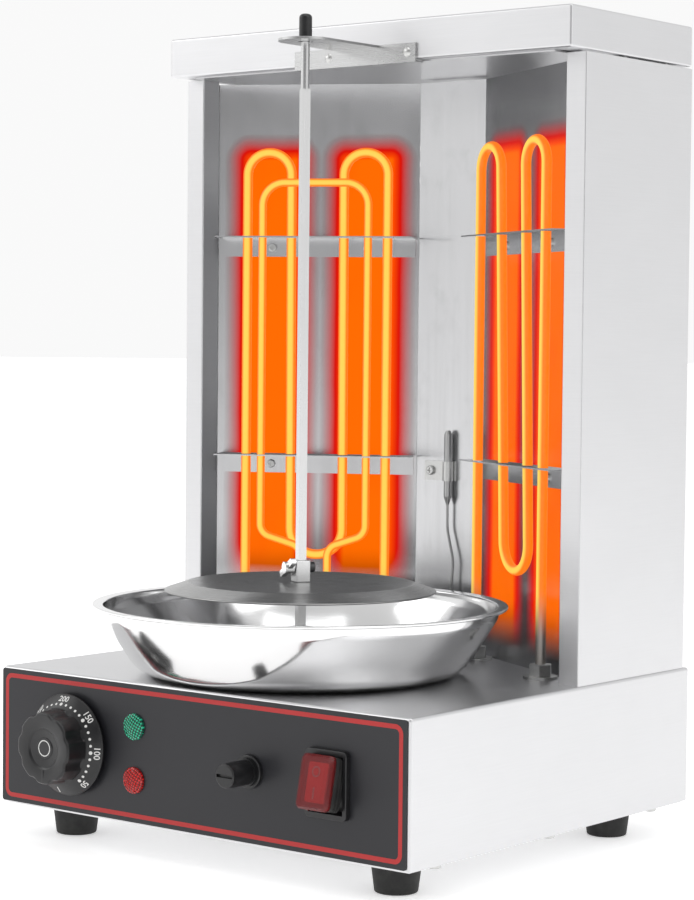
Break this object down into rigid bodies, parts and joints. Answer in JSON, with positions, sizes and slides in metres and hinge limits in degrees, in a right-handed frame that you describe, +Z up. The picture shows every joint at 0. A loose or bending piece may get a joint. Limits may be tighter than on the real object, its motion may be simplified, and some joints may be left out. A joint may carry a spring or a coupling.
{
  "type": "rotisserie oven",
  "caption": "Countertop vertical electric rotisserie: box base with dial, lamps, fuse and rocker switch, tube heaters on angled reflectors, turning spit with meat disc over a drip bowl.",
  "frame": {"origin": "centre of the outer box on the floor, under the feet", "axes": "+Z up, front with the controls towards -Y, +X to the right seen from the front"},
  "size_m": [0.3, 0.3104, 0.474],
  "materials": {
    "stainless": "brushed stainless sheet",
    "polished_steel": "mirror-polished stainless",
    "reflector_steel": "bright rolled stainless",
    "zinc_plated": "zinc-plated fastener",
    "overlay_black": "printed overlay, satin",
    "black_rubber": "moulded rubber",
    "black_plastic": "moulded, satin",
    "hot_element": "glowing heater sheath",
    "green_lens": "translucent lens",
    "red_lens": "translucent lens",
    "red_window": "clear red cover",
    "white_plastic": "moulded",
    "ceramic_white": "unglazed",
    "brass_stud": "turned",
    "copper_tube": "drawn tube",
    "fuse_glass": "cartridge",
    "aluminium_plate": "spun plate, satin",
    "dark_steel": "blackened",
    "bush_bronze": "sintered bush",
    "gear_nylon": "moulded gear"
  },
  "bodies": {
    "oven_body": {"base_housing": "stainless", "bottom_plate": "stainless", "control_panel": "overlay_black", "foot_front_left": "black_rubber", "foot_front_right": "black_rubber", "foot_rear_left": "black_rubber", "foot_rear_right": "black_rubber", "foot_screws": "zinc_plated", "casing_screws": "zinc_plated", "side_panel_left": "stainless", "side_panel_right": "stainless", "back_panel": "stainless", "reflector_left": "reflector_steel", "reflector_centre": "reflector_steel", "reflector_right": "reflector_steel", "roof": "stainless", "ceiling_plate": "reflector_steel", "spit_bracket": "stainless", "bracket_rivets": "stainless", "heater_left": "hot_element", "heater_right": "hot_element", "heater_left_inner": "hot_element", "heater_glands": "zinc_plated", "heater_supports_left": "reflector_steel", "heater_supports_right": "reflector_steel", "heater_terminals": "brass_stud", "reflector_screws": "zinc_plated", "thermostat_bulb": "copper_tube", "bulb_clip": "stainless", "capillary": "copper_tube", "thermostat_body": "white_plastic", "lamp_lens_green": "green_lens", "lamp_lens_red": "red_lens", "lamp_body_green": "white_plastic", "lamp_body_red": "white_plastic", "fuse_holder": "black_plastic", "switch_body": "black_plastic", "motor_can": "zinc_plated", "gearbox_case": "zinc_plated", "drive_bush": "bush_bronze", "machine_screws": "zinc_plated", "terminal_block": "ceramic_white", "cable_gland": "black_plastic"},
    "turntable_drive": {"drive_coupling": "zinc_plated", "output_gear": "gear_nylon"},
    "last_pinion": {"last_pinion": "zinc_plated"},
    "spit": {"spit_bar": "stainless", "spit_cap": "black_plastic"},
    "disc": {"meat_disc": "aluminium_plate", "collar_block": "stainless", "collar_screw": "dark_steel"},
    "wing_screw": {"wing_screw": "polished_steel"},
    "drip_bowl": {"drip_bowl": "polished_steel"},
    "knob": {"knob": "black_plastic", "thermostat_spindle": "zinc_plated"},
    "rocker": {"switch_boot": "black_rubber", "switch_window": "red_window"},
    "fuse_link": {"fuse_link": "fuse_glass"},
    "fuse_cap": {"fuse_cap": "black_plastic"}
  },
  "joints": [
    {"name": "turntable_spin", "type": "hinge", "parent": "oven_body", "child": "turntable_drive", "pos_m": [0, -0.0364, 0.098], "axis": [0, 0, 1], "continuous": true},
    {"name": "pinion_spin", "type": "hinge", "parent": "oven_body", "child": "last_pinion", "pos_m": [0.01725, -0.0364, 0.087], "axis": [0, 0, 1], "continuous": true},
    {"name": "spit_lift", "type": "slide", "parent": "turntable_drive", "child": "spit", "axis": [0, 0, 1], "range_m": [0, 0.026]},
    {"name": "disc_height", "type": "slide", "parent": "spit", "child": "disc", "axis": [0, 0, 1], "range_m": [0, 0.2]},
    {"name": "wing_screw_turn", "type": "hinge", "parent": "disc", "child": "wing_screw", "pos_m": [0, -0.0364, 0.1593], "axis": [-0.4695, -0.8829, 0], "range_deg": [-56, 0]},
    {"name": "bowl_lift", "type": "slide", "parent": "oven_body", "child": "drip_bowl", "axis": [0, 0, 1], "range_m": [0, 0.014]},
    {"name": "thermostat_turn", "type": "hinge", "parent": "oven_body", "child": "knob", "pos_m": [-0.0926, -0.1276, 0.0584], "axis": [0, 1, 0], "range_deg": [0, 270]},
    {"name": "rocker_tilt", "type": "hinge", "parent": "oven_body", "child": "rocker", "pos_m": [0.097, -0.1286, 0.0584], "axis": [1, 0, 0], "range_deg": [0, 24]},
    {"name": "fuse_pull", "type": "slide", "parent": "oven_body", "child": "fuse_link", "axis": [0, -1, 0], "range_m": [0, 0.035]},
    {"name": "fuse_cap_turn", "type": "hinge", "parent": "fuse_link", "child": "fuse_cap", "pos_m": [0.042, -0.1276, 0.0584], "axis": [0, -1, 0], "range_deg": [0, 60]}
  ],
  "couplings": [
    {"joint": "pinion_spin", "follows": "turntable_spin", "ratio": -3.6}
  ]
}
